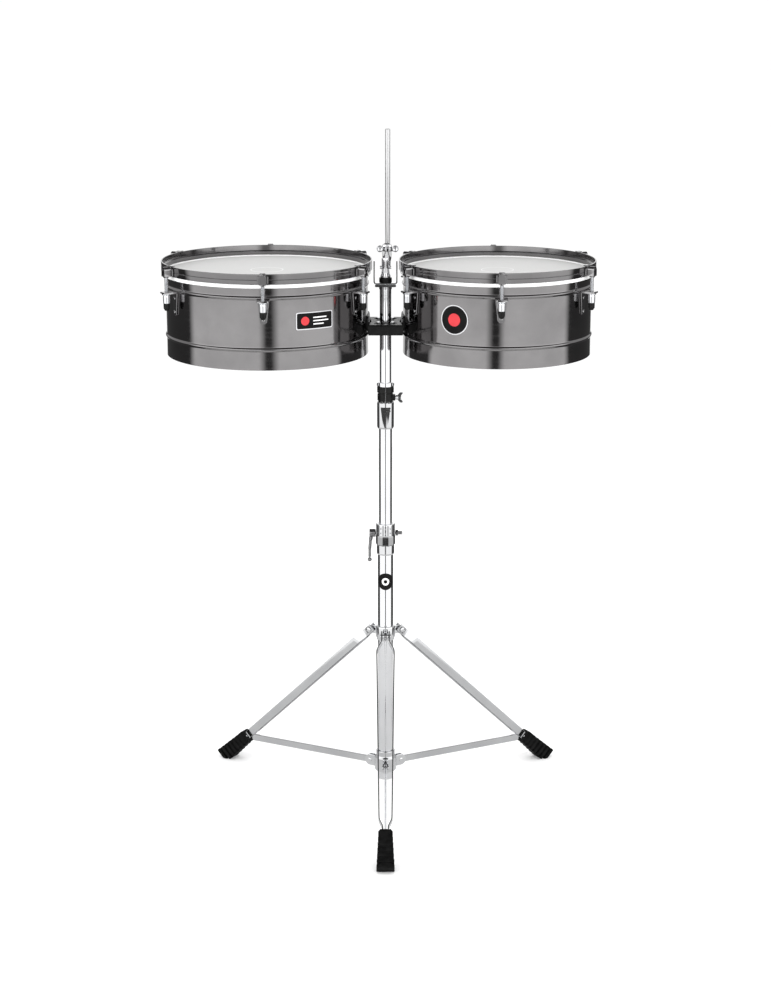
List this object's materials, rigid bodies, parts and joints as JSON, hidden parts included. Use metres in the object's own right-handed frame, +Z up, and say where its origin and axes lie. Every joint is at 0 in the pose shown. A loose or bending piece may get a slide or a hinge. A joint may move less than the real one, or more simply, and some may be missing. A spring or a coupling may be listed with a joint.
{
  "type": "timbales on a tripod stand",
  "caption": "Two shallow steel drums of different size, side by side on a telescopic column with a folding double-strap tripod and an accessory rod between the drums.",
  "frame": {"origin": "on the floor, below the centre of the set's bounding box; the column's axis is 12.7 mm to +X and 85.2 mm to +Y of it", "axes": "+Z up along the column, +X from the low (larger) drum to the high (smaller) drum, -Y towards the front leg and the badges"},
  "size_m": [0.8186, 0.6066, 1.315],
  "materials": {
    "bright_chrome": "polished",
    "hook_chrome": "polished",
    "black_chrome": "dark polished plating",
    "black_rubber": "matt, ribbed",
    "black_paint": "satin",
    "badge_black": "gloss",
    "bush_plastic": "matt",
    "head_film": "coated film"
  },
  "bodies": {
    "base": {"lower_tube": "bright_chrome", "leg_collar": "bright_chrome", "lower_clamp": "bright_chrome", "lower_clamp_bolt": "bright_chrome", "lower_bush": "bush_plastic", "tube_badge": "badge_black"},
    "hub": {"leg_hub": "bright_chrome"},
    "clamp_lever": {"lower_clamp_lever": "bright_chrome"},
    "middle_column": {"middle_tube": "bright_chrome", "upper_clamp": "bright_chrome", "upper_clamp_collar": "black_paint"},
    "wing_bolt": {"upper_wing_bolt": "bright_chrome"},
    "ring": {"memory_ring": "bright_chrome"},
    "upper_column": {"upper_tube": "bright_chrome", "cross_bracket": "black_paint", "bracket_clamp": "black_paint", "top_plate": "bright_chrome", "spacer_strip": "bright_chrome", "top_collar": "black_paint", "rod_post": "bright_chrome"},
    "rod_eye": {"rod_clamp": "bright_chrome"},
    "rod_nut": {"rod_wing_nut": "bright_chrome"},
    "rod": {"accessory_rod": "bright_chrome"},
    "front_leg": {"front_leg_strap_a": "bright_chrome", "front_leg_strap_b": "bright_chrome", "front_foot": "black_rubber"},
    "front_brace": {"front_stay": "bright_chrome"},
    "right_leg": {"right_leg_strap_a": "bright_chrome", "right_leg_strap_b": "bright_chrome", "right_foot": "black_rubber"},
    "right_brace": {"right_stay": "bright_chrome"},
    "left_leg": {"left_leg_strap_a": "bright_chrome", "left_leg_strap_b": "bright_chrome", "left_foot": "black_rubber"},
    "left_brace": {"left_stay": "bright_chrome"},
    "low_drum": {"low_shell": "black_chrome", "low_head": "head_film", "low_flesh_hoop": "hook_chrome", "low_counterhoop": "black_chrome", "low_badge": "badge_black", "low_mount_plate": "black_paint", "low_tension_hook_1": "hook_chrome", "low_tension_hook_2": "hook_chrome", "low_tension_hook_3": "hook_chrome", "low_tension_hook_4": "hook_chrome", "low_tension_hook_5": "hook_chrome", "low_tension_hook_6": "hook_chrome"},
    "high_drum": {"high_shell": "black_chrome", "high_head": "head_film", "high_flesh_hoop": "hook_chrome", "high_counterhoop": "black_chrome", "high_badge": "badge_black", "high_mount_plate": "black_paint", "high_tension_hook_1": "hook_chrome", "high_tension_hook_2": "hook_chrome", "high_tension_hook_3": "hook_chrome", "high_tension_hook_4": "hook_chrome", "high_tension_hook_5": "hook_chrome", "high_tension_hook_6": "hook_chrome"}
  },
  "joints": [
    {"name": "clamp_lever_turn", "type": "hinge", "parent": "base", "child": "clamp_lever", "pos_m": [-0.0123, 0.10616, 0.533], "axis": [-1, 0, 0], "range_deg": [0, 270]},
    {"name": "tripod_fold", "type": "slide", "parent": "base", "child": "hub", "axis": [0, 0, 1], "range_m": [0, 0.155]},
    {"name": "middle_height", "type": "slide", "parent": "base", "child": "middle_column", "axis": [0, 0, 1], "range_m": [-0.18, 0.14]},
    {"name": "wing_bolt_turn", "type": "hinge", "parent": "middle_column", "child": "wing_bolt", "pos_m": [0.0327, 0.08516, 0.808], "axis": [1, 0, 0], "range_deg": [0, 270]},
    {"name": "upper_height", "type": "slide", "parent": "middle_column", "child": "ring", "axis": [0, 0, 1], "range_m": [0, 0.1]},
    {"name": "swivel", "type": "hinge", "parent": "ring", "child": "upper_column", "pos_m": [0.0127, 0.08516, 0.834], "axis": [0, 0, 1], "continuous": true},
    {"name": "rod_tilt", "type": "hinge", "parent": "upper_column", "child": "rod_eye", "pos_m": [0.0167, 0.08516, 1.094], "axis": [0, 1, 0], "range_deg": [-45, 45]},
    {"name": "rod_slide", "type": "slide", "parent": "rod_eye", "child": "rod", "axis": [0, 0, 1], "range_m": [-0.01, 0.01]},
    {"name": "rod_nut_turn", "type": "hinge", "parent": "rod_eye", "child": "rod_nut", "pos_m": [0.0167, 0.07316, 1.094], "axis": [0, -1, 0], "range_deg": [0, 270]},
    {"name": "low_drum_tilt", "type": "hinge", "parent": "upper_column", "child": "low_drum", "pos_m": [-0.0033, 0.08516, 0.948], "axis": [1, 0, 0], "range_deg": [-15, 15]},
    {"name": "high_drum_tilt", "type": "hinge", "parent": "upper_column", "child": "high_drum", "pos_m": [0.0287, 0.08516, 0.948], "axis": [1, 0, 0], "range_deg": [-15, 15]},
    {"name": "front_leg_fold", "type": "hinge", "parent": "base", "child": "front_leg", "pos_m": [0.0127, 0.05186, 0.3374], "axis": [1, 0, 0], "range_deg": [0, 29.9]},
    {"name": "front_brace_fold", "type": "hinge", "parent": "hub", "child": "front_brace", "pos_m": [0.0127, 0.05186, 0.0624], "axis": [1, 0, 0], "range_deg": [0, 65.1]},
    {"name": "right_leg_fold", "type": "hinge", "parent": "base", "child": "right_leg", "pos_m": [0.04154, 0.10181, 0.3374], "axis": [-0.5, 0.866, 0], "range_deg": [0, 29.9]},
    {"name": "right_brace_fold", "type": "hinge", "parent": "hub", "child": "right_brace", "pos_m": [0.04154, 0.10181, 0.0624], "axis": [-0.5, 0.866, 0], "range_deg": [0, 65.1]},
    {"name": "left_leg_fold", "type": "hinge", "parent": "base", "child": "left_leg", "pos_m": [-0.01614, 0.10181, 0.3374], "axis": [-0.5, -0.866, 0], "range_deg": [0, 29.9]},
    {"name": "left_brace_fold", "type": "hinge", "parent": "hub", "child": "left_brace", "pos_m": [-0.01614, 0.10181, 0.0624], "axis": [-0.5, -0.866, 0], "range_deg": [0, 65.1]}
  ],
  "couplings": [
    {"joint": "front_leg_fold", "follows": "tripod_fold", "rad_per_m": 3.3555},
    {"joint": "front_brace_fold", "follows": "tripod_fold", "rad_per_m": 7.3191},
    {"joint": "right_leg_fold", "follows": "tripod_fold", "rad_per_m": 3.3555},
    {"joint": "right_brace_fold", "follows": "tripod_fold", "rad_per_m": 7.3191},
    {"joint": "left_leg_fold", "follows": "tripod_fold", "rad_per_m": 3.3555},
    {"joint": "left_brace_fold", "follows": "tripod_fold", "rad_per_m": 7.3191}
  ]
}
